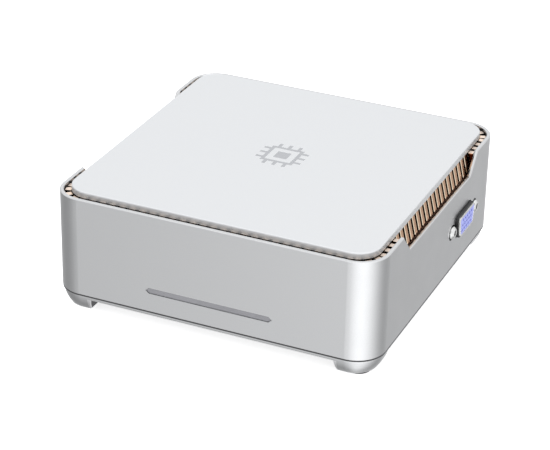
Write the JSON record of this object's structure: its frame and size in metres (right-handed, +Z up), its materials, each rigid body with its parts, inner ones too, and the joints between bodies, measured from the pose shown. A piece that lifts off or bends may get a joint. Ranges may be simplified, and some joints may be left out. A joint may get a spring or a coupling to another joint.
{
  "type": "mini pc",
  "caption": "Small square desktop computer with a floating top plate, side air grille, light bar, wall sockets and corner feet.",
  "frame": {"origin": "on the table plane, under the middle of the case", "axes": "+X to the right side with the video socket, +Y to the rear, +Z up"},
  "size_m": [0.1304, 0.128, 0.048],
  "materials": {
    "case_silver": "fine satin silver paint",
    "plate_silver": "bead blasted, anodised",
    "emblem_metal": "polished inlay",
    "grille_copper": "satin copper colour",
    "light_lens": "frosted lens",
    "rubber_black": "matt",
    "screw_steel": "black zinc",
    "steel": "nickel plated",
    "insert_brass": "knurled",
    "contact_gold": "gold plated",
    "board_green": "solder mask",
    "board_black": "moulded",
    "chip_black": "moulded",
    "white_plastic": "moulded",
    "socket_blue": "moulded",
    "silicon": "polished",
    "thermal": "soft",
    "heatsink_metal": "extruded",
    "coil_copper": "enamelled wire",
    "wire": "sheathed"
  },
  "bodies": {
    "case": {"outer_shell": "case_silver", "top_plate": "plate_silver", "plate_emblem": "emblem_metal", "plate_screws": "screw_steel", "vent_grille": "grille_copper", "light_bar": "light_lens", "light_board": "board_green", "light_leds": "white_plastic", "bottom_cover": "case_silver", "cover_screws": "screw_steel", "rubber_feet": "rubber_black", "vesa_inserts": "insert_brass", "motherboard": "board_green", "board_screws": "screw_steel", "board_coils": "chip_black", "board_capacitors": "steel", "board_chips": "chip_black", "fan_header": "white_plastic", "cpu_package": "board_green", "cpu_die": "silicon", "thermal_pad": "thermal", "heatsink": "heatsink_metal", "heatsink_standoffs": "insert_brass", "heatsink_screws": "steel", "fan_frame": "board_black", "fan_stator": "coil_copper", "fan_screws": "steel", "fan_lead": "wire", "memory_socket": "board_black", "memory_module": "board_green", "memory_chips": "chip_black", "ssd_socket": "board_black", "ssd_board": "board_green", "ssd_chips": "chip_black", "ssd_screw": "steel", "radio_card": "board_black", "antennas": "board_black", "antenna_leads": "wire", "cell_holder": "board_black", "coin_cell": "steel", "vga_housing": "board_black", "vga_shell": "steel", "vga_insert": "socket_blue", "vga_contacts": "contact_gold", "vga_jackscrews": "steel", "hdmi_shell": "steel", "hdmi_tongue": "board_black", "net_shield": "steel", "net_housing": "board_black", "net_contacts": "contact_gold", "usb_shells": "steel", "usb_tongues": "socket_blue", "usb_contacts": "contact_gold", "audio_jack": "board_black", "power_inlet": "board_black", "inlet_pin": "steel", "power_switch": "board_black"},
    "button": {"power_button": "case_silver"},
    "fan": {"fan_rotor": "chip_black"},
    "reset": {"reset_plunger": "white_plastic"}
  },
  "joints": [
    {"name": "power_button_press", "type": "slide", "parent": "case", "child": "button", "axis": [1, 0, 0], "range_m": [0, 0.0005], "stiffness_N_per_m": 1500},
    {"name": "fan_spin", "type": "hinge", "parent": "case", "child": "fan", "pos_m": [0, 0, 0.038], "axis": [0, 0, 1], "continuous": true},
    {"name": "reset_press", "type": "slide", "parent": "case", "child": "reset", "axis": [1, 0, 0], "range_m": [0, 0.00025], "stiffness_N_per_m": 1500}
  ]
}
